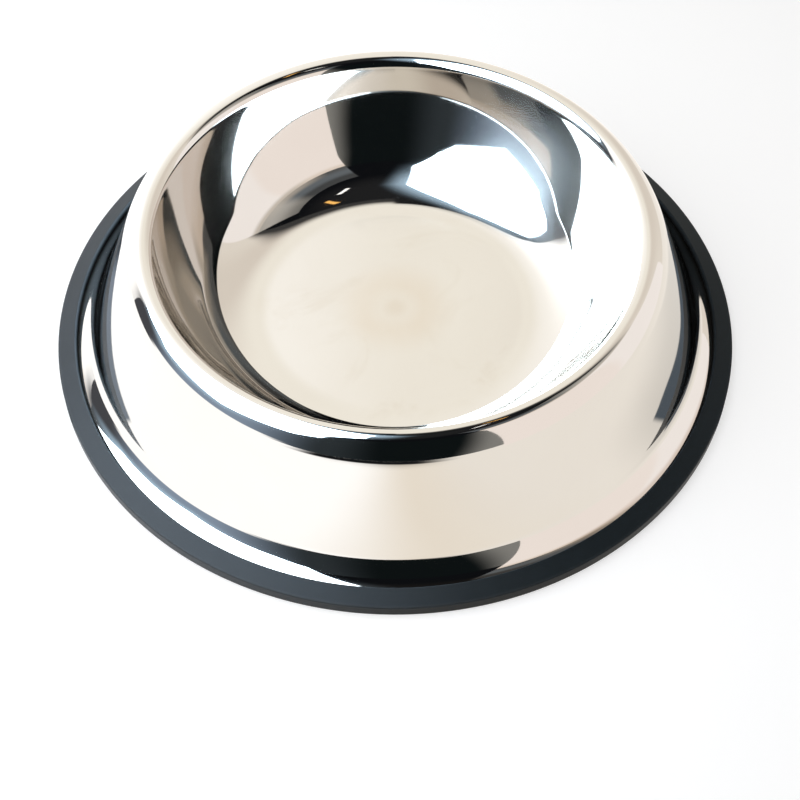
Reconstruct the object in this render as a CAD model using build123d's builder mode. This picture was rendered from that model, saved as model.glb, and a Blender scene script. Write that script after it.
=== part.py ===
from build123d import *
import os
from math import acos, cos, degrees, radians, sin

# Non-tip pet bowl, in millimetres, +Z up, standing on z = 0 about the Z axis.
# One pressed sheet makes the dish, the rolled rim, the flared skirt and the foot flange.
# A rubber ring with an inward groove grips the flange and is what the bowl stands on.

# Overall sizes
base_diameter = 260.0  # outside of the rubber ring
overall_height = 55.5  # table to the crest of the rim

# Steel sheet
sheet_thickness = 0.6
floor_height = 10.0  # table to the dish's floor, on the food side
skirt_spread = 34.0  # rim crest to the edge of the flange, measured along a radius
rim_radius = 4.5  # roll of the rim, on its outside
rim_inner_slope = 73.0  # steepest slope of the dish's wall, where it meets the roll
rim_outer_slope = 39.0  # slope where the roll eases into the shoulder
shoulder_radius = 15.5  # gentler bend from the rim down into the skirt
skirt_slope = 68.5  # straight part of the skirt
flare_radius = 14.0  # bend from the skirt out to the flange
flange_slope = 22.0  # the flange falls outwards by this angle
floor_bend_radius = 32.0  # bend from the floor into the wall
wall_radius = 94.0  # slow curve of the wall above that bend

# Rubber ring
ring_wall = 3.0  # rubber outside the edge of the flange
ring_wall_height = 4.4  # straight outer wall, table to the edge of the sloping top
lip_thickness = 2.1  # upper lip, lying on the flange
lip_grip = 4.9  # how far the lip reaches over the flange, along its slope
foot_width = 9.0  # radial width of the underside
groove_clearance = 0.1  # room round the flange inside the groove
lip_round = 0.3  # rounded inner edge of the lip
outer_round = 0.7  # rounded upper edge of the outer wall
foot_round = 0.5  # rounded edges of the underside


def normal_at(slope):
    """Unit vector square to the sheet, on the show side, where it rises outwards by this slope."""
    return Vector(-sin(radians(slope)), cos(radians(slope)))


def along(slope):
    """Unit vector along the sheet, pointing outwards, where it rises outwards by this slope."""
    return Vector(cos(radians(slope)), sin(radians(slope)))


# Ring and flange: the ring's sloping top is parallel to the flange and meets the outer wall at its height
ring_radius = base_diameter / 2
flange_radius = ring_radius - ring_wall
flange_out = along(-flange_slope)
flange_normal = normal_at(-flange_slope)
lip_top_offset = groove_clearance + lip_thickness
top_run = (ring_wall - lip_top_offset * flange_normal.X) / flange_out.X
flange_height = ring_wall_height - lip_top_offset * flange_normal.Y - top_run * flange_out.Y
flange_edge = Vector(flange_radius, flange_height)

# Rim: its roll stands over the crest circle
rim_crest = Vector(flange_radius - skirt_spread, overall_height)
rim_centre = rim_crest - Vector(0, rim_radius)
wall_end = rim_centre + rim_radius * normal_at(rim_inner_slope)
rim_end = rim_centre + rim_radius * normal_at(-rim_outer_slope)

# Dish: the wall's curve eases into the floor's bend at the slope that brings the bend down to the floor
wall_centre = wall_end + wall_radius * normal_at(rim_inner_slope)
bend_drop = wall_centre.Y - floor_height - floor_bend_radius
wall_start_slope = degrees(acos(bend_drop / (wall_radius - floor_bend_radius)))
bend_centre = wall_centre - (wall_radius - floor_bend_radius) * normal_at(wall_start_slope)

# Skirt and flange: straight runs whose lengths close the profile between the shoulder and the flange's edge
shoulder_centre = rim_end - shoulder_radius * normal_at(-rim_outer_slope)
skirt_start = shoulder_centre + shoulder_radius * normal_at(-skirt_slope)
skirt_out = along(-skirt_slope)
flare_step = flare_radius * (normal_at(-skirt_slope) - normal_at(-flange_slope))
gap = flange_edge - skirt_start - flare_step
turn = skirt_out.X * flange_out.Y - skirt_out.Y * flange_out.X
skirt_run = (gap.X * flange_out.Y - gap.Y * flange_out.X) / turn
flange_run = (skirt_out.X * gap.Y - skirt_out.Y * gap.X) / turn
skirt_end = skirt_start + skirt_run * skirt_out
flare_centre = skirt_end + flare_radius * normal_at(-skirt_slope)
flange_start = flange_edge - flange_run * flange_out


def draw_sheet_face(depth):
    """Draw one face of the sheet from the axis to the flange's edge, this far below the show face."""
    skirt_shift = depth * normal_at(-skirt_slope)
    flange_shift = depth * flange_normal
    Line((0, floor_height - depth), (bend_centre.X, floor_height - depth))
    CenterArc(bend_centre, floor_bend_radius + depth, -90, wall_start_slope)
    CenterArc(wall_centre, wall_radius + depth, wall_start_slope - 90, rim_inner_slope - wall_start_slope)
    CenterArc(rim_centre, rim_radius - depth, 90 + rim_inner_slope, -rim_inner_slope - rim_outer_slope)
    CenterArc(shoulder_centre, shoulder_radius - depth, 90 - rim_outer_slope, rim_outer_slope - skirt_slope)
    Line(skirt_start - skirt_shift, skirt_end - skirt_shift)
    CenterArc(flare_centre, flare_radius + depth, -90 - skirt_slope, skirt_slope - flange_slope)
    Line(flange_start - flange_shift, flange_edge - flange_shift)


# Steel bowl: the sheet's section turned about the axis
with BuildPart() as steel_bowl:
    with BuildSketch(Plane.XZ):
        with BuildLine():
            draw_sheet_face(0)
            draw_sheet_face(sheet_thickness)
            Line((0, floor_height), (0, floor_height - sheet_thickness))
            Line(flange_edge, flange_edge - sheet_thickness * flange_normal)
        make_face()
    revolve(axis=Axis.Z)

# Ring section: the groove takes the flange with its clearance, and the foot stands on the table
groove_top = flange_edge + groove_clearance * flange_normal
groove_bottom = flange_edge - (sheet_thickness + groove_clearance) * flange_normal
groove_reach = groove_clearance * flange_out
lip_foot = groove_top - lip_grip * flange_out
lip_tip = lip_foot + lip_thickness * flange_normal
foot_inner_radius = ring_radius - foot_width
foot_inner_run = (groove_bottom.X - foot_inner_radius) / flange_out.X
foot_inner_top = groove_bottom - foot_inner_run * flange_out

with BuildPart() as anti_skid_ring:
    with BuildSketch(Plane.XZ) as ring_section:
        with BuildLine():
            Polyline(
                lip_foot,
                lip_tip,
                (ring_radius, ring_wall_height),
                (ring_radius, 0),
                (foot_inner_radius, 0),
                foot_inner_top,
                groove_bottom + groove_reach,
                groove_top + groove_reach,
                close=True,
            )
        make_face()
        foot_corners = ring_section.vertices().group_by(Axis.Y)[0]
        fillet(foot_corners, foot_round)
        outer_corner = ring_section.vertices().group_by(Axis.X)[-1].sort_by(Axis.Y)[-1]
        fillet(outer_corner, outer_round)
        lip_corner = ring_section.vertices().sort_by(Axis.Y)[-1]
        fillet(lip_corner, min(lip_round, 0.8 * lip_thickness))
    revolve(axis=Axis.Z)

steel_bowl.part.label = "steel_bowl"
anti_skid_ring.part.label = "anti_skid_ring"

os.makedirs("parts", exist_ok=True)
export_step(steel_bowl.part, "parts/steel_bowl.step")
export_step(anti_skid_ring.part, "parts/anti_skid_ring.step")
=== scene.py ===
from math import acos, cos, pi, radians, sin, tan

import bmesh
import bpy
from mathutils import Matrix, Vector


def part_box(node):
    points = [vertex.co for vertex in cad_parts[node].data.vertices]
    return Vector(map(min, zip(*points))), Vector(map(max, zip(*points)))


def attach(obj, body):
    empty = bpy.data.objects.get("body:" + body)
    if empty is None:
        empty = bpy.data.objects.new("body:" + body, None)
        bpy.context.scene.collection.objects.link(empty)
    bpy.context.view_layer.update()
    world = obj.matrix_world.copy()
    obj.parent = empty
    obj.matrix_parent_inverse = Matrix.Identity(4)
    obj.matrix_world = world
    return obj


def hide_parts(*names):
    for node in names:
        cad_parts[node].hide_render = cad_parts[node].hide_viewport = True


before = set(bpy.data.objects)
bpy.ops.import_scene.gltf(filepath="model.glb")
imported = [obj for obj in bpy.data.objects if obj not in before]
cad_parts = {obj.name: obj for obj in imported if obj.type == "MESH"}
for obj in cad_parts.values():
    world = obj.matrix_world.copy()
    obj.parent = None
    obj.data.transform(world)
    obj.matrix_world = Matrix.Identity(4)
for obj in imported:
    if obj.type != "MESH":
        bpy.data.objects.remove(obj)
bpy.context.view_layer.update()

# Overall sizes in metres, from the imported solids
ring_low, ring_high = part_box("anti_skid_ring")
bowl_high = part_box("steel_bowl")[1]
ring_radius = min(ring_high.x, ring_high.y, -ring_low.x, -ring_low.y)
overall_height = bowl_high.z

# Steel sheet
sheet_thickness = 0.0006
floor_height = 0.010
skirt_spread = 0.034
rim_radius = 0.0045
rim_inner_slope = radians(73)
rim_outer_slope = radians(39)
shoulder_radius = 0.0155
skirt_slope = radians(68.5)
flare_radius = 0.014
flange_slope = radians(22)
floor_bend_radius = 0.032
wall_radius = 0.094

# Rubber ring
ring_wall = 0.003
ring_wall_height = 0.0044
lip_thickness = 0.0021
lip_grip = 0.0049
foot_width = 0.009
groove_clearance = 0.0001
lip_round = 0.0003
outer_round = 0.0007
foot_round = 0.0005

# How finely the pieces are turned about the axis
turning_steps = 256


def normal_at(slope):
    """Unit vector square to the sheet, on the show side, where it rises outwards by this slope."""
    return Vector((-sin(slope), cos(slope)))


def along(slope):
    """Unit vector along the sheet, pointing outwards, where it rises outwards by this slope."""
    return Vector((cos(slope), sin(slope)))


# Ring and flange: the ring's sloping top is parallel to the flange and meets the outer wall at its height
flange_radius = ring_radius - ring_wall
flange_out = along(-flange_slope)
flange_normal = normal_at(-flange_slope)
lip_top_offset = groove_clearance + lip_thickness
top_run = (ring_wall - lip_top_offset * flange_normal.x) / flange_out.x
flange_height = ring_wall_height - lip_top_offset * flange_normal.y - top_run * flange_out.y
flange_edge = Vector((flange_radius, flange_height))

# Rim, dish, skirt and flange, as tangent arcs and straight runs
rim_crest = Vector((flange_radius - skirt_spread, overall_height))
rim_centre = rim_crest - Vector((0, rim_radius))
wall_end = rim_centre + rim_radius * normal_at(rim_inner_slope)
rim_end = rim_centre + rim_radius * normal_at(-rim_outer_slope)
wall_centre = wall_end + wall_radius * normal_at(rim_inner_slope)
bend_drop = wall_centre.y - floor_height - floor_bend_radius
wall_start_slope = acos(bend_drop / (wall_radius - floor_bend_radius))
bend_centre = wall_centre - (wall_radius - floor_bend_radius) * normal_at(wall_start_slope)
shoulder_centre = rim_end - shoulder_radius * normal_at(-rim_outer_slope)
skirt_start = shoulder_centre + shoulder_radius * normal_at(-skirt_slope)
skirt_out = along(-skirt_slope)
flare_step = flare_radius * (normal_at(-skirt_slope) - normal_at(-flange_slope))
gap = flange_edge - skirt_start - flare_step
turn = skirt_out.x * flange_out.y - skirt_out.y * flange_out.x
skirt_run = (gap.x * flange_out.y - gap.y * flange_out.x) / turn
skirt_end = skirt_start + skirt_run * skirt_out
flare_centre = skirt_end + flare_radius * normal_at(-skirt_slope)


def chain_end(made):
    """The vertex at which a spin of one vertex ends."""
    return next(v for v in made["geom_last"] if isinstance(v, bmesh.types.BMVert))


class Section:
    """The outline of a turned piece in the XZ plane, drawn from point to point as a chain of edges."""

    def __init__(self):
        self.mesh = bmesh.new()
        self.tip = None

    def start(self, point):
        """Begin a chain at this point."""
        self.tip = self.mesh.verts.new((point.x, 0, point.y))
        return self.tip

    def place(self):
        return Vector((self.tip.co.x, self.tip.co.z))

    def sweep(self, steps, centre=(0, 0, 0), angle=0.0, shift=(0, 0, 0)):
        """Carry the chain's end on in equal steps, turned about centre or shifted."""
        made = bmesh.ops.spin(
            self.mesh,
            geom=[self.tip],
            cent=centre,
            axis=(0, -1, 0),
            dvec=shift,
            angle=angle,
            steps=steps,
            use_merge=False,
            use_duplicate=False,
        )
        self.tip = chain_end(made)

    def line(self, end, steps=1):
        """Draw a straight run to end."""
        run = (end - self.place()) / steps
        self.sweep(steps, shift=(run.x, 0, run.y))

    def arc(self, centre, angle, steps):
        """Draw an arc about centre, turning by this angle, anticlockwise where it is positive."""
        self.sweep(steps, centre=(centre.x, 0, centre.y), angle=angle)

    def corner(self, point, onward, radius, run_steps=6, round_steps=6):
        """Draw a straight run towards point and round the corner there, heading for onward."""
        arriving = (point - self.place()).normalized()
        leaving = (onward - point).normalized()
        bend = -arriving.angle_signed(leaving)
        setback = radius * tan(abs(bend) / 2)
        self.line(point - setback * arriving, run_steps)
        side = 1 if bend > 0 else -1
        inward = Vector((-arriving.y, arriving.x)) * side
        self.arc(self.place() + radius * inward, bend, round_steps)

    def join(self, first, second):
        """Close the outline between two ends."""
        bmesh.ops.contextual_create(self.mesh, geom=[first, second])

    def turned(self, name):
        """Turn the outline round the Z axis into a closed, smooth-shaded mesh object."""
        mesh = self.mesh
        bmesh.ops.spin(
            mesh,
            geom=mesh.verts[:] + mesh.edges[:],
            cent=(0, 0, 0),
            axis=(0, 0, 1),
            dvec=(0, 0, 0),
            angle=2 * pi,
            steps=turning_steps,
            use_merge=True,
            use_duplicate=False,
        )
        bmesh.ops.remove_doubles(mesh, verts=mesh.verts[:], dist=1e-6)
        bmesh.ops.dissolve_degenerate(mesh, dist=1e-7, edges=mesh.edges[:])
        bmesh.ops.recalc_face_normals(mesh, faces=mesh.faces[:])
        return made_object(name, mesh)


def made_object(name, mesh, sharp=radians(35)):
    """Put a finished bmesh into the scene as an object at the origin."""
    for face in mesh.faces:
        face.smooth = True
    for edge in mesh.edges:
        if len(edge.link_faces) == 2 and edge.calc_face_angle(0) > sharp:
            edge.smooth = False
    data = bpy.data.meshes.new(name)
    mesh.to_mesh(data)
    mesh.free()
    made = bpy.data.objects.new(name, data)
    bpy.context.scene.collection.objects.link(made)
    return made


class Value:
    """A socket of a node tree, with arithmetic that adds Math nodes."""

    def __init__(self, finish, socket):
        self.finish = finish
        self.socket = socket

    def maths(self, operation, *values):
        sockets = dict(enumerate(values))
        return self.finish.node("ShaderNodeMath", {"operation": operation}, sockets)

    def __add__(self, other):
        return self.maths("ADD", self, other)

    def __radd__(self, other):
        return self.maths("ADD", other, self)

    def __sub__(self, other):
        return self.maths("SUBTRACT", self, other)

    def __rsub__(self, other):
        return self.maths("SUBTRACT", other, self)

    def __mul__(self, other):
        return self.maths("MULTIPLY", self, other)

    def __rmul__(self, other):
        return self.maths("MULTIPLY", other, self)

    def __truediv__(self, other):
        return self.maths("DIVIDE", self, other)

    def __pow__(self, other):
        return self.maths("POWER", self, other)


class Finish:
    """The node tree of a material or of the world."""

    def __init__(self, owner):
        owner.use_nodes = True
        self.owner = owner
        self.tree = owner.node_tree
        self.tree.nodes.clear()

    def node(self, kind, settings=None, sockets=None, output=0):
        """Add a node, its settings first and then its sockets, and give one of its outputs."""
        made = self.tree.nodes.new(kind)
        for name, value in (settings or {}).items():
            setattr(made, name, value)
        for name, value in (sockets or {}).items():
            if isinstance(value, Value):
                self.tree.links.new(value.socket, made.inputs[name])
            else:
                made.inputs[name].default_value = value
        return Value(self, made.outputs[output]) if made.outputs else None

    def object_place(self):
        return self.node("ShaderNodeTexCoord", output="Object")

    def parts(self, vector):
        """The three numbers of a vector."""
        split = self.node("ShaderNodeSeparateXYZ", sockets={"Vector": vector}).socket.node
        return [Value(self, out) for out in split.outputs]

    def step(self, value, low, high):
        """0 below low, 1 above high, eased between."""
        return self.node(
            "ShaderNodeMapRange",
            {"interpolation_type": "SMOOTHSTEP"},
            {"Value": value, "From Min": low, "From Max": high, "To Min": 0.0, "To Max": 1.0},
        )

    def colour_mix(self, factor, first, second):
        sockets = {0: factor, 6: first, 7: second}
        return self.node("ShaderNodeMix", {"data_type": "RGBA"}, sockets, output=2)

    def noise(self, vector, scale, detail=2.0, roughness=0.5, distortion=0.0):
        sockets = {
            "Vector": vector,
            "Scale": scale,
            "Detail": detail,
            "Roughness": roughness,
            "Distortion": distortion,
        }
        return self.node("ShaderNodeTexNoise", {"noise_dimensions": "3D"}, sockets)

    def vector(self, x, y, z):
        return self.node("ShaderNodeCombineXYZ", sockets={0: x, 1: y, 2: z})

    def bump(self, height, distance, strength=1.0, normal=None):
        sockets = {"Height": height, "Distance": distance, "Strength": strength}
        if normal:
            sockets["Normal"] = normal
        return self.node("ShaderNodeBump", sockets=sockets)

    def show(self, shader):
        of_world = isinstance(self.owner, bpy.types.World)
        kind = "ShaderNodeOutputWorld" if of_world else "ShaderNodeOutputMaterial"
        self.node(kind, sockets={"Surface": shader})
        return self.owner


def new_finish(name):
    return Finish(bpy.data.materials.new(name))


def rgb(red, green, blue):
    return (red, green, blue, 1.0)


def from_axis(x, y):
    """Distance from the bowl's axis."""
    return (x * x + y * y) ** 0.5


def round_axis(x, y):
    """Angle round the bowl's axis, in radians from its right side."""
    return y.maths("ARCTAN2", y, x)


def azimuth(x, y):
    """Angle round the bowl's axis, in degrees from the camera's side towards the right."""
    return x.maths("ARCTAN2", x, 0 - y) * (180 / pi)


# Polished steel of the show face
def polished_steel():
    steel = new_finish("polished_steel")
    place = steel.object_place()
    x, y, z = steel.parts(place)
    radius = from_axis(x, y)
    turned = round_axis(x, y)
    dish_floor = 1 - steel.step(radius, 0.044, 0.060)

    # Polishing lines run round the bowl: fine across the section, long round it
    line_place = steel.vector(turned * 3.0, radius * 900.0, z * 900.0)
    fine_lines = steel.noise(line_place, 1.0, detail=3.0, roughness=0.6)
    broad_place = steel.vector(turned * 1.6, radius * 160.0, z * 160.0)
    broad_lines = steel.noise(broad_place, 1.0, detail=2.0)

    # Cloudy haze and water marks, stains on the floor, browner rings and a spot at its middle, and
    # painted shade on the steel beside the rubber
    clouds = steel.noise(place, 26.0, detail=3.0, roughness=0.55, distortion=0.6)
    smudges = steel.step(steel.noise(place, 60.0, detail=4.0, roughness=0.6), 0.52, 0.72)
    halo = 1 - steel.step(radius, 0.004, 0.022)
    core = 1 - steel.step(radius, 0.001, 0.006)
    browner_middle_ring = steel.step(radius, 0.005, 0.012) * (1 - steel.step(radius, 0.012, 0.026))
    painted_shade_by_ring = steel.step(radius, 0.1204, 0.1218)
    stains = steel.step(steel.noise(place, 21.0, detail=4.0, roughness=0.6, distortion=1.4), 0.5, 0.75)
    tint = steel.colour_mix(clouds, rgb(0.685, 0.657, 0.618), rgb(0.655, 0.622, 0.580))
    tint = steel.colour_mix(stains * dish_floor * 0.7, tint, rgb(0.62, 0.575, 0.515))
    tint = steel.colour_mix(halo * 0.4, tint, rgb(0.645, 0.590, 0.520))
    tint = steel.colour_mix(browner_middle_ring * (clouds * 0.9), tint, rgb(0.635, 0.565, 0.485))
    tint = steel.colour_mix(core * 0.5, tint, rgb(0.610, 0.550, 0.480))
    # Painted shade: darker brown on the steel next to the rubber lip
    tint = steel.colour_mix(painted_shade_by_ring * (0.2 + clouds * 0.6), tint, rgb(0.40, 0.30, 0.22))
    sheen = 0.012 + fine_lines * 0.03 + broad_lines * 0.015 + smudges * 0.02 + dish_floor * 0.05
    waves = steel.noise(place, 38.0, detail=1.0)
    dents = steel.bump(waves, 0.00006)
    scratches = steel.bump(fine_lines, 0.0000012, normal=dents)
    mirror = steel.node(
        "ShaderNodeBsdfPrincipled",
        sockets={"Base Color": tint, "Metallic": 1.0, "Roughness": sheen, "Normal": scratches},
    )

    # Haze across the polishing lines, strongest on the right rear of the wall
    haze_place = steel.vector(turned * 1.5, radius * 2400.0, z * 2400.0)
    haze_lines = steel.noise(haze_place, 1.0, detail=2.0, roughness=0.6)
    off_rear_right = turned - radians(34)
    off_rear_right = off_rear_right.maths("ABSOLUTE", off_rear_right)
    rear_right = 1 - steel.step(off_rear_right, radians(8), radians(36))
    wall = steel.step(radius, 0.056, 0.070) * (1 - steel.step(radius, 0.083, 0.091))
    hazy = (0.5 + haze_lines) * (0.0012 + 0.15 * rear_right * wall)
    haze = steel.node(
        "ShaderNodeBsdfPrincipled",
        sockets={
            "Base Color": tint,
            "Metallic": 1.0,
            "Roughness": 0.34,
            "Anisotropic": 0.85,
            "Anisotropic Rotation": 0.25,
            "Normal": dents,
        },
    )
    return steel.show(steel.node("ShaderNodeMixShader", sockets={0: hazy, 1: mirror, 2: haze}))


# Satin steel of the hidden underside
def satin_steel():
    steel = new_finish("satin_steel")
    place = steel.object_place()
    x, y, z = steel.parts(place)
    radius = from_axis(x, y)
    turned = round_axis(x, y)
    line_place = steel.vector(turned * 2.0, radius * 700.0, z * 700.0)
    fine_lines = steel.noise(line_place, 1.0, detail=4.0, roughness=0.65)
    clouds = steel.noise(place, 30.0, detail=3.0)
    tint = steel.colour_mix(clouds, rgb(0.70, 0.69, 0.67), rgb(0.62, 0.61, 0.59))
    sheen = 0.24 + fine_lines * 0.16 + clouds * 0.08
    brushing = steel.bump(fine_lines, 0.000006)
    shader = steel.node(
        "ShaderNodeBsdfPrincipled",
        sockets={"Base Color": tint, "Metallic": 1.0, "Roughness": sheen, "Normal": brushing},
    )
    return steel.show(shader)


# Black rubber of the ring
def black_rubber():
    rubber = new_finish("black_rubber")
    place = rubber.object_place()
    x, y, z = rubber.parts(place)
    radius = from_axis(x, y)
    grain = rubber.noise(place, 2600.0, detail=3.0, roughness=0.6)
    mottle = rubber.noise(place, 90.0, detail=4.0, roughness=0.6)
    dust = rubber.step(rubber.noise(place, 420.0, detail=4.0, roughness=0.7), 0.60, 0.78)
    # Pale outer top edge: some wear, and a painted highlight that is stronger on the lit left side
    edge_wear_and_highlight = rubber.step(radius, ring_radius - 0.0012, ring_radius - 0.0002)
    edge_wear_and_highlight = edge_wear_and_highlight * rubber.step(z, 0.0030, 0.0042)
    # Painted light: the rubber is lighter on its lit left side and darker on its shaded right side
    lit_side = rubber.step(0 - x, -0.09, 0.11)
    shaded_side_tint = rubber.colour_mix(mottle, rgb(0.0075, 0.0118, 0.0144), rgb(0.0109, 0.0157, 0.0183))
    lit_side_tint = rubber.colour_mix(mottle, rgb(0.0490, 0.0525, 0.0560), rgb(0.0585, 0.0625, 0.0660))
    tint = rubber.colour_mix(lit_side, shaded_side_tint, lit_side_tint)
    tint = rubber.colour_mix(dust * 0.2, tint, rgb(0.040, 0.046, 0.052))
    tint = rubber.colour_mix(edge_wear_and_highlight * (0.10 + lit_side * 0.25), tint, rgb(0.085, 0.090, 0.095))
    # Painted shade on the outer wall, deepest at the right
    outer_wall = rubber.step(radius, ring_radius - 0.0006, ring_radius - 0.0002)
    outer_wall = outer_wall * (1 - rubber.step(z, 0.0034, 0.0042))
    tint = rubber.colour_mix(outer_wall * (0.5 - lit_side * 0.5), tint, rgb(0.004, 0.006, 0.008))

    # Painted shade on the inner face of the lip, deepest towards the flange and lighter on the lit left
    # side
    lip_radius = flange_radius - lip_grip * flange_out.x + lip_top_offset * flange_normal.x
    lip_face = (1 - rubber.step(radius, lip_radius, lip_radius + 0.0002)) * rubber.step(z, 0.0042, 0.0050)
    lip_face_shade = rubber.colour_mix(lit_side, rgb(0.019, 0.025, 0.030), rgb(0.066, 0.077, 0.088))
    lip_face_shade = rubber.colour_mix(rubber.step(z, 0.0054, 0.0069), rgb(0.001, 0.0015, 0.002), lip_face_shade)
    tint = rubber.colour_mix(lip_face, tint, lip_face_shade)
    dullness = 0.40 + mottle * 0.10 + dust * 0.1 + lip_face * 0.4
    moulding = rubber.bump(grain, 0.00005, strength=0.5)
    shader = rubber.node(
        "ShaderNodeBsdfPrincipled",
        sockets={
            "Base Color": tint,
            "Roughness": dullness,
            "Specular IOR Level": 0.09,
            "Normal": moulding,
        },
    )
    return rubber.show(shader)


# Steel bowl: both faces of the sheet drawn from the axis to the flange's edge
def draw_sheet_face(section, depth, fineness):
    """Draw one face of the sheet, this far below the show face, and give its end at the flange's edge."""
    section.start(Vector((0, floor_height - depth)))
    section.line(Vector((bend_centre.x, floor_height - depth)), round(14 * fineness))
    section.arc(bend_centre, wall_start_slope, round(30 * fineness))
    section.arc(wall_centre, rim_inner_slope - wall_start_slope, round(40 * fineness))
    section.arc(rim_centre, -rim_inner_slope - rim_outer_slope, round(40 * fineness))
    section.arc(shoulder_centre, rim_outer_slope - skirt_slope, round(26 * fineness))
    section.line(skirt_end - depth * normal_at(-skirt_slope), round(14 * fineness))
    section.arc(flare_centre, skirt_slope - flange_slope, round(26 * fineness))
    section.line(flange_edge - depth * flange_normal, round(6 * fineness))
    return section.tip


def make_steel_bowl():
    section = Section()
    show_edge = draw_sheet_face(section, 0.0, 1.0)
    under_edge = draw_sheet_face(section, sheet_thickness, 0.5)
    section.join(show_edge, under_edge)
    bowl = section.turned("steel_bowl_polished")
    bowl.data.materials.append(polished_steel())
    bowl.data.materials.append(satin_steel())
    for face in bowl.data.polygons:
        face.material_index = 0 if face.normal.z > 0 else 1
    return bowl


# Rubber ring: the groove takes the flange, and the foot stands on the table
def make_rubber_ring():
    groove_top = flange_edge + groove_clearance * flange_normal
    groove_bottom = flange_edge - (sheet_thickness + groove_clearance) * flange_normal
    groove_reach = groove_clearance * flange_out
    lip_foot = groove_top - lip_grip * flange_out
    lip_tip = lip_foot + lip_thickness * flange_normal
    outer_top = Vector((ring_radius, ring_wall_height))
    outer_foot = Vector((ring_radius, 0))
    inner_foot = Vector((ring_radius - foot_width, 0))
    inner_run = (groove_bottom.x - inner_foot.x) / flange_out.x
    inner_top = groove_bottom - inner_run * flange_out

    section = Section()
    first = section.start(lip_foot)
    section.corner(lip_tip, outer_top, min(lip_round, 0.8 * lip_thickness), 2, 8)
    section.corner(outer_top, outer_foot, outer_round, 14, 8)
    section.corner(outer_foot, inner_foot, foot_round, 8, 6)
    section.corner(inner_foot, inner_top, foot_round, 10, 6)
    section.line(inner_top, 6)
    section.line(groove_bottom + groove_reach, 6)
    section.line(groove_top + groove_reach, 2)
    section.line(lip_foot + 0.02 * (groove_top - lip_foot), 6)
    section.join(section.tip, first)
    ring = section.turned("anti_skid_ring_rubber")
    ring.data.materials.append(black_rubber())
    return ring


steel_bowl = make_steel_bowl()
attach(steel_bowl, "root")
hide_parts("steel_bowl")

rubber_ring = make_rubber_ring()
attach(rubber_ring, "root")
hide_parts("anti_skid_ring")


# Studio: places are given by azimuth, from the camera's side round to the right, and elevation
def heading(azimuth, elevation=0.0):
    a = radians(azimuth)
    e = radians(elevation)
    return Vector((sin(a) * cos(e), -cos(a) * cos(e), sin(e)))


def stage_card(name, mesh, look, to_camera=False):
    card = made_object(name, mesh)
    card.data.materials.append(look)
    card.visible_camera = to_camera
    return card


def flat_card_place(middle, facing):
    """The turn and place of a card whose face looks along facing, with its upper edge level."""
    facing = facing.normalized()
    up = (Vector((0, 0, 1)) - facing * facing.z).normalized()
    across = up.cross(facing)
    return Matrix.Translation(middle) @ Matrix((across, up, facing)).transposed().to_4x4()


def round_card(name, middle, facing, half_width, half_height, look):
    mesh = bmesh.new()
    bmesh.ops.create_circle(mesh, cap_ends=True, segments=96, radius=1.0)
    bmesh.ops.scale(mesh, vec=(half_width, half_height, 1), verts=mesh.verts[:])
    bmesh.ops.transform(mesh, matrix=flat_card_place(middle, facing), verts=mesh.verts[:])
    return stage_card(name, mesh, look)


def square_card(name, middle, facing, width, height, look):
    mesh = bmesh.new()
    bmesh.ops.create_grid(mesh, x_segments=1, y_segments=1, size=0.5)
    bmesh.ops.scale(mesh, vec=(width, height, 1), verts=mesh.verts[:])
    bmesh.ops.transform(mesh, matrix=flat_card_place(middle, facing), verts=mesh.verts[:])
    return stage_card(name, mesh, look)


def curved_card(name, distance, first_azimuth, last_azimuth, low, high, look):
    mesh = bmesh.new()
    foot = mesh.verts.new(heading(first_azimuth) * distance + Vector((0, 0, low)))
    made = bmesh.ops.extrude_vert_indiv(mesh, verts=[foot])
    bmesh.ops.translate(mesh, vec=(0, 0, high - low), verts=made["verts"])
    bmesh.ops.spin(
        mesh,
        geom=mesh.verts[:] + mesh.edges[:],
        cent=(0, 0, 0),
        axis=(0, 0, 1),
        dvec=(0, 0, 0),
        angle=radians(last_azimuth - first_azimuth),
        steps=64,
        use_merge=False,
        use_duplicate=False,
    )
    return stage_card(name, mesh, look)


def shaped_card(name, outline, place, rounding, look):
    """A flat card with this outline in its own plane, its corners rounded."""
    mesh = bmesh.new()
    corners = [mesh.verts.new((across, up, 0)) for across, up in outline]
    bmesh.ops.contextual_create(mesh, geom=corners)
    bmesh.ops.bevel(
        mesh,
        geom=mesh.verts[:],
        affect="VERTICES",
        offset=rounding,
        segments=8,
        profile=0.5,
        material=-1,
    )
    bmesh.ops.transform(mesh, matrix=place, verts=mesh.verts[:])
    return stage_card(name, mesh, look)


def glow_shader(glow, colour, strength=1.0):
    return glow.node("ShaderNodeEmission", sockets={"Color": colour, "Strength": strength})


def plain_glow(name, colour):
    glow = new_finish(name)
    return glow.show(glow_shader(glow, colour))


# Share of a board's mirrored brightness that it gives to the rest of the scene as light
board_light = 0.3


def board_shader(glow, colour):
    """A board as the steel shows it, giving the rest of the scene only part of that light."""
    mirrored = glow.node("ShaderNodeLightPath", output="Is Glossy Ray")
    return glow_shader(glow, colour, board_light + (1 - board_light) * mirrored)


def distance_along(glow, place, axis, start):
    """How far a place lies along an axis, from the point start."""
    sockets = {0: place, 1: axis}
    along_axis = glow.node("ShaderNodeVectorMath", {"operation": "DOT_PRODUCT"}, sockets, output="Value")
    return along_axis - axis.dot(start)


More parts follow.
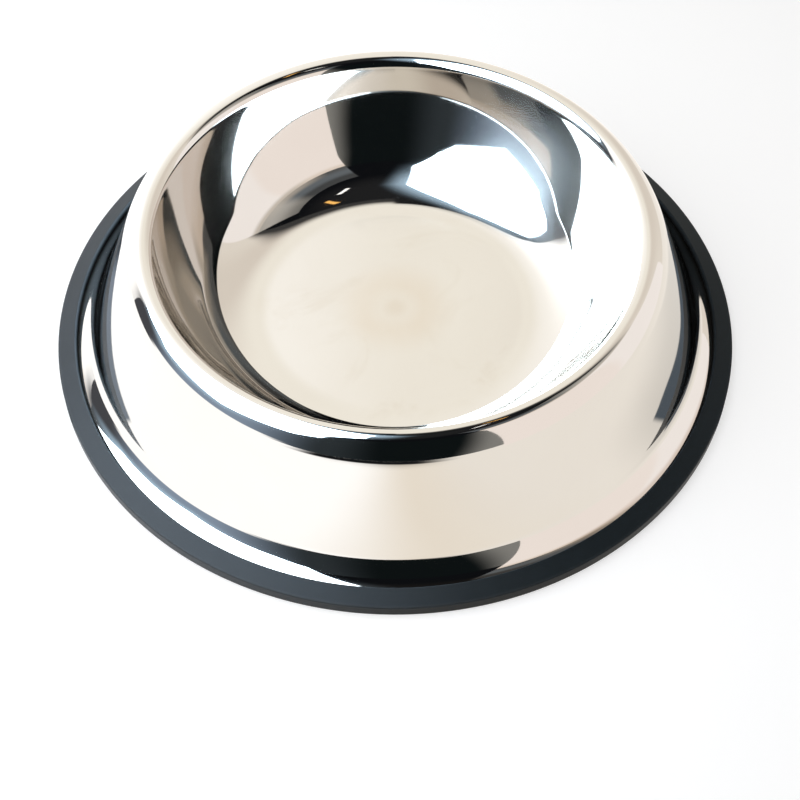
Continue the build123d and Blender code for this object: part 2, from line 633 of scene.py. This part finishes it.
# Softbox: an eight-sided white face with a bluish spill round it, in a plane that looks down at the bowl
softbox_heading = heading(-72, 47)
softbox_place = flat_card_place(softbox_heading * 0.3955, -softbox_heading)
softbox_outline = [
    (-0.285, 0.0),
    (-0.255, -0.072),
    (-0.10, -0.195),
    (0.09, -0.185),
    (0.175, -0.085),
    (0.208, -0.02),
    (0.222, 0.16),
    (0.205, 0.335),
    (-0.01, 0.325),
    (-0.20, 0.20),
]

# Brightness of the softbox's face in the steel, of its face as light on the scene, and of its spill
softbox_mirrored = 10.0
softbox_light = 2.4
spill_strength = 1.0


def softbox_glow():
    glow = new_finish("softbox_glow")
    place = glow.object_place()
    across = softbox_place.col[0].to_3d()
    up = softbox_place.col[1].to_3d()
    middle = softbox_place.translation
    outside = None
    for first, second in zip(softbox_outline, softbox_outline[1:] + softbox_outline[:1]):
        run = Vector(second) - Vector(first)
        square = Vector((run.y, -run.x)).normalized()
        axis = across * square.x + up * square.y
        corner = middle + across * first[0] + up * first[1]
        beyond = distance_along(glow, place, axis, corner)
        outside = beyond if outside is None else beyond.maths("MAXIMUM", outside, beyond)
    along_face = distance_along(glow, place, across, middle)
    rise = distance_along(glow, place, up, middle)
    face = 1 - glow.step(outside, -0.004, 0.006)
    ends = glow.step(rise, 0.18, 0.33)
    ends = ends.maths("MAXIMUM", ends, glow.step(0 - rise, 0.10, 0.19))
    ends = ends * glow.step(along_face, -0.27, -0.03)
    spill = (1 - glow.step(outside, 0.0, 0.10)) ** 1.5
    spill = spill * (0.22 + 0.68 * ends) * glow.step(along_face, -0.30, -0.10)
    mirrored = glow.node("ShaderNodeLightPath", output="Is Glossy Ray")
    white = glow.colour_mix(mirrored, rgb(1.0, 1.02, 1.05), rgb(0.78, 1.0, 1.22))
    colour = glow.colour_mix(face, rgb(0.60, 0.84, 1.08), white)
    face_strength = softbox_light + mirrored * (softbox_mirrored - softbox_light)
    strength = spill_strength + face * (face_strength - spill_strength)
    shader = glow_shader(glow, colour, strength)
    nothing = glow.node("ShaderNodeBsdfTransparent")
    shown = face.maths("MAXIMUM", face, spill)
    return glow.show(glow.node("ShaderNodeMixShader", sockets={0: shown, 1: nothing, 2: shader}))


# Left part of the back board: white, a little duller towards the middle
def left_back_glow():
    glow = new_finish("left_back_glow")
    x, y, z = glow.parts(glow.object_place())
    colour = glow.colour_mix(glow.step(x, -0.26, -0.07), rgb(1.90, 1.93, 1.97), rgb(1.38, 1.37, 1.33))
    colour = glow.colour_mix(glow.step(x, -0.09, 0.01), colour, rgb(1.25, 1.22, 1.13))
    top_middle = glow.step(z, 0.46, 0.58) * glow.step(x, -0.12, -0.03)
    colour = glow.colour_mix(top_middle, colour, rgb(0.66, 0.66, 0.63))
    far_left = glow.step(0 - x, 0.52, 0.82) * (0.35 + 0.65 * glow.step(z, 0.06, 0.40))
    colour = glow.colour_mix(far_left, colour, rgb(0.16, 0.165, 0.18))
    return glow.show(board_shader(glow, colour))


# Right part of the back board: duller and warmer, and falling off upwards into the dark
def right_back_glow():
    glow = new_finish("right_back_glow")
    x, y, z = glow.parts(glow.object_place())
    colour = glow.colour_mix(glow.step(x, 0.03, 0.20), rgb(1.25, 1.22, 1.13), rgb(0.98, 0.91, 0.83))
    colour = glow.colour_mix(glow.step(x, 0.25, 0.55), colour, rgb(1.06, 1.00, 0.92))
    edge = z - glow.step(x, 0.15, 0.5) * 0.10
    colour = glow.colour_mix(glow.step(edge, 0.49, 0.71), colour, rgb(0.06, 0.06, 0.06))
    return glow.show(board_shader(glow, colour))


# Curved side board: whiter behind its seam, duller near the top of its bright part and grey above it
def side_board_glow():
    glow = new_finish("side_board_glow")
    x, y, z = glow.parts(glow.object_place())
    turned = azimuth(x, y)
    colour = glow.colour_mix(glow.step(turned, 76.0, 82.0), rgb(1.22, 1.13, 1.09), rgb(1.26, 1.21, 1.20))
    upper = glow.colour_mix(glow.step(turned, 54.0, 76.0), rgb(1.05, 0.93, 0.83), rgb(0.80, 0.74, 0.67))
    colour = glow.colour_mix(glow.step(z, 0.41, 0.48), colour, upper)
    off_centre = (turned - 77.0) / 30.0
    dome = 1 - off_centre * off_centre
    hump = dome.maths("MAXIMUM", dome, 0.0)
    grey = glow.colour_mix(hump, rgb(0.13, 0.135, 0.14), rgb(0.52, 0.48, 0.43))
    grey = glow.colour_mix(glow.step(z, 0.52, 0.63), grey, rgb(0.17, 0.195, 0.22))
    grey = glow.colour_mix(glow.step(z, 0.66, 0.80), grey, rgb(0.08, 0.085, 0.09))
    rear = glow.colour_mix(glow.step(z, 0.55, 0.95), rgb(0.74, 0.71, 0.66), rgb(0.30, 0.295, 0.28))
    grey = glow.colour_mix(glow.step(turned, 76.0, 92.0) * 0.75, grey, rear)
    colour = glow.colour_mix(glow.step(z, 0.497, 0.503), colour, grey)
    return glow.show(board_shader(glow, colour))


# Front screen: under the softbox white at its foot and blue grey above, then black, and grey at its right
def front_screen_glow():
    glow = new_finish("front_screen_glow")
    x, y, z = glow.parts(glow.object_place())
    turned = azimuth(x, y)
    under_box = glow.step(turned, -97.0, -76.0)
    colour = glow.colour_mix(under_box, rgb(0.085, 0.09, 0.105), rgb(0.33, 0.43, 0.58))
    colour = glow.colour_mix(glow.step(turned, -58.0, -24.0), colour, rgb(0.035, 0.045, 0.053))
    foot = glow.step(turned, -95.0, -89.0) * (1 - glow.step(turned, -46.0, -34.0))
    foot = foot * (1 - glow.step(z, 0.04, 0.08))
    colour = glow.colour_mix(foot, colour, rgb(1.6, 1.63, 1.66))
    colour = glow.colour_mix(glow.step(turned, -24.0, -4.0), colour, rgb(0.006, 0.009, 0.010))
    grey_start = 17.0 + z * 10.0
    grey_share = glow.step(turned - grey_start, 0.0, 14.0)
    colour = glow.colour_mix(grey_share, colour, rgb(0.30, 0.30, 0.29))
    return glow.show(glow_shader(glow, colour))


# Pale sheet on the table, as the steel shows it: bright at the left, creamy at the right, dark in front
def table_sheet_glow():
    glow = new_finish("table_sheet_glow")
    x, y, z = glow.parts(glow.object_place())
    colour = glow.colour_mix(glow.step(x, -0.075, 0.03), rgb(1.55, 1.58, 1.62), rgb(1.17, 1.10, 0.99))
    colour = glow.colour_mix(glow.step(x, 0.02, 0.12), colour, rgb(1.18, 1.14, 1.08))
    turned = azimuth(x, y)
    reach = from_axis(x, y)
    front = glow.step(turned, -36.0, -24.0) * (1 - glow.step(turned, 6.0, 22.0))
    front = front * glow.step(reach, 0.31, 0.37)
    colour = glow.colour_mix(front, colour, rgb(0.01, 0.011, 0.013))
    # Painted soft shadow on the sheet near the ring at the right
    soft_shadow_right = glow.step(turned, 50.0, 72.0) * (1 - glow.step(turned, 106.0, 122.0))
    soft_shadow_right = soft_shadow_right * (1 - glow.step(reach, 0.138, 0.195))
    colour = glow.colour_mix(soft_shadow_right * 0.26, colour, rgb(0.05, 0.055, 0.06))

    # Shadow beside the ring, wider and darker at the right
    right_side = glow.step(x, -0.05, 0.05)
    off_front = turned.maths("ABSOLUTE", turned)
    width = 0.010 + right_side * (0.006 - 0.008 * glow.step(off_front, 71.0, 94.0))
    past_shadow = glow.step(reach - ring_radius - width, -0.0006, 0.0006)
    shadow = glow.step(off_front, 66.0, 68.0) * (1 - past_shadow)
    shade = glow.colour_mix(right_side, rgb(0.26, 0.31, 0.38), rgb(0.10, 0.125, 0.155))
    shade = glow.colour_mix(glow.step(off_front, 101.0, 110.0), shade, rgb(0.07, 0.085, 0.10))
    colour = glow.colour_mix(shadow, colour, shade)
    return glow.show(glow_shader(glow, colour))


shaped_card(
    "softbox",
    [(-0.42, -0.40), (0.36, -0.40), (0.36, 0.50), (-0.42, 0.50)],
    softbox_place,
    0.05,
    softbox_glow(),
)
back_board_place = flat_card_place(Vector((0, 0.261, 0)), Vector((0, -1, 0)))
shaped_card(
    "left_back_board",
    [(0.0, 0.0), (0.0, 0.555), (-0.14, 0.59), (-0.36, 0.61), (-0.58, 0.55), (-0.80, 0.44), (-0.84, 0.0)],
    back_board_place,
    0.002,
    left_back_glow(),
)
shaped_card(
    "right_back_board",
    [(0.0, 0.0), (1.0, 0.0), (1.0, 0.90), (0.0, 0.90)],
    back_board_place,
    0.002,
    right_back_glow(),
)
curved_card("side_board", 0.42, 33.4, 114.0, 0.0, 0.95, side_board_glow())
curved_card("front_screen", 0.95, -112.5, 50, 0.0, 1.1, front_screen_glow())

# Two small lamps high over the right rear, seen in the far wall
white_glow = plain_glow("white_lamp_glow", rgb(1.9, 1.9, 1.9))
warm_glow = plain_glow("warm_lamp_glow", rgb(1.45, 0.80, 0.22))
lamp_distance = 0.8
white_heading = heading(84, 77)
warm_heading = heading(130, 74.5)
square_card("white_lamp", white_heading * lamp_distance, -white_heading, 0.085, 0.018, white_glow)
square_card("warm_lamp", warm_heading * lamp_distance, -warm_heading, 0.10, 0.016, warm_glow)

# The sheet looks a hair off straight up, which gives it an upper edge, and shows in the steel alone
nearly_up = Vector((0, 0.00001, 1))
table_sheet = round_card("table_sheet", Vector((0, 0, 0)), nearly_up, 0.93, 0.93, table_sheet_glow())
table_sheet.visible_diffuse = False
table_sheet.visible_shadow = False
table_sheet.visible_transmission = False


# Share of the table that glows white to the camera, and the glow added to it, so that its shadow stays
table_glow_share = 0.45
table_lift = 0.16


# Table top and far wall in one sweep: white, with the bowl's shadow
def table_finish():
    table = new_finish("table_white")
    path = table.node("ShaderNodeLightPath").socket.node
    camera_ray = Value(table, path.outputs["Is Camera Ray"])
    glossy_ray = Value(table, path.outputs["Is Glossy Ray"])
    clear_ray = Value(table, path.outputs["Is Transmission Ray"])
    from_below = table.node("ShaderNodeNewGeometry", output="Backfacing")
    glow = glow_shader(table, rgb(1, 1, 1))
    matte = table.node("ShaderNodeBsdfDiffuse", sockets={"Color": rgb(0.95, 0.945, 0.94)})
    share = camera_ray * table_glow_share + glossy_ray + clear_ray
    shader = table.node("ShaderNodeMixShader", sockets={0: share, 1: matte, 2: glow})
    lift = glow_shader(table, rgb(1, 1, 1), camera_ray * table_lift)
    shader = table.node("ShaderNodeAddShader", sockets={0: shader, 1: lift})
    nothing = table.node("ShaderNodeBsdfTransparent")
    shader = table.node("ShaderNodeMixShader", sockets={0: from_below, 1: shader, 2: nothing})
    return table.show(shader)


def make_table():
    mesh = bmesh.new()
    still = {"axis": (0, 1, 0), "cent": (0, 0, 0), "angle": 0, "steps": 1}
    tip = mesh.verts.new((0, 0, -0.0001))
    tip = chain_end(bmesh.ops.spin(mesh, geom=[tip], dvec=(25, 0, 0), **still))
    made = bmesh.ops.spin(mesh, geom=[tip], cent=(25, 0, 5), axis=(0, -1, 0), angle=pi / 2, steps=12)
    tip = chain_end(made)
    bmesh.ops.spin(mesh, geom=[tip], dvec=(0, 0, 8), **still)
    bmesh.ops.spin(
        mesh,
        geom=mesh.verts[:] + mesh.edges[:],
        cent=(0, 0, 0),
        axis=(0, 0, 1),
        angle=2 * pi,
        steps=64,
        use_merge=True,
    )
    bmesh.ops.remove_doubles(mesh, verts=mesh.verts[:], dist=1e-5)
    bmesh.ops.recalc_face_normals(mesh, faces=mesh.faces[:])
    if sum(face.normal.z for face in mesh.faces) < 0:
        bmesh.ops.reverse_faces(mesh, faces=mesh.faces[:])
    return stage_card("table_top", mesh, table_finish(), to_camera=True)


make_table()

# Dim room round the studio
room = bpy.data.worlds.new("dim_room")
bpy.context.scene.world = room
dim = Finish(room)
direction = dim.node("ShaderNodeTexCoord", output="Generated")
overhead = dim.step(dim.parts(direction)[2], 0.9, 0.99)
room_colour = dim.colour_mix(overhead, rgb(0.006, 0.007, 0.009), rgb(0.020, 0.021, 0.023))
dim.show(dim.node("ShaderNodeBackground", sockets={"Color": room_colour, "Strength": 1.0}))

# Soft fill from above for the table and the rubber
fill_data = bpy.data.lights.new("overhead_fill", "AREA")
fill_data.shape = "DISK"
fill_data.size = 1.6
fill_data.energy = 10.0
fill = bpy.data.objects.new("overhead_fill", fill_data)
fill.location = (0.5, -0.1, 1.5)
fill.visible_camera = False
fill.visible_glossy = False
bpy.context.scene.collection.objects.link(fill)

# Camera at the photograph's place
camera_data = bpy.data.cameras.new("camera")
camera_data.sensor_width = 36.0
camera_data.lens = 76.5
camera = bpy.data.objects.new("camera", camera_data)
camera.location = (0.0018, -0.423, 0.512)
camera.rotation_euler = (radians(37), 0, 0)
bpy.context.scene.collection.objects.link(camera)
bpy.context.scene.camera = camera

bpy.context.scene.view_settings.view_transform = "Standard"

# The dish is a hollow mirror: near the rim a reflection turns in it many times
bpy.context.scene.cycles.glossy_bounces = 10
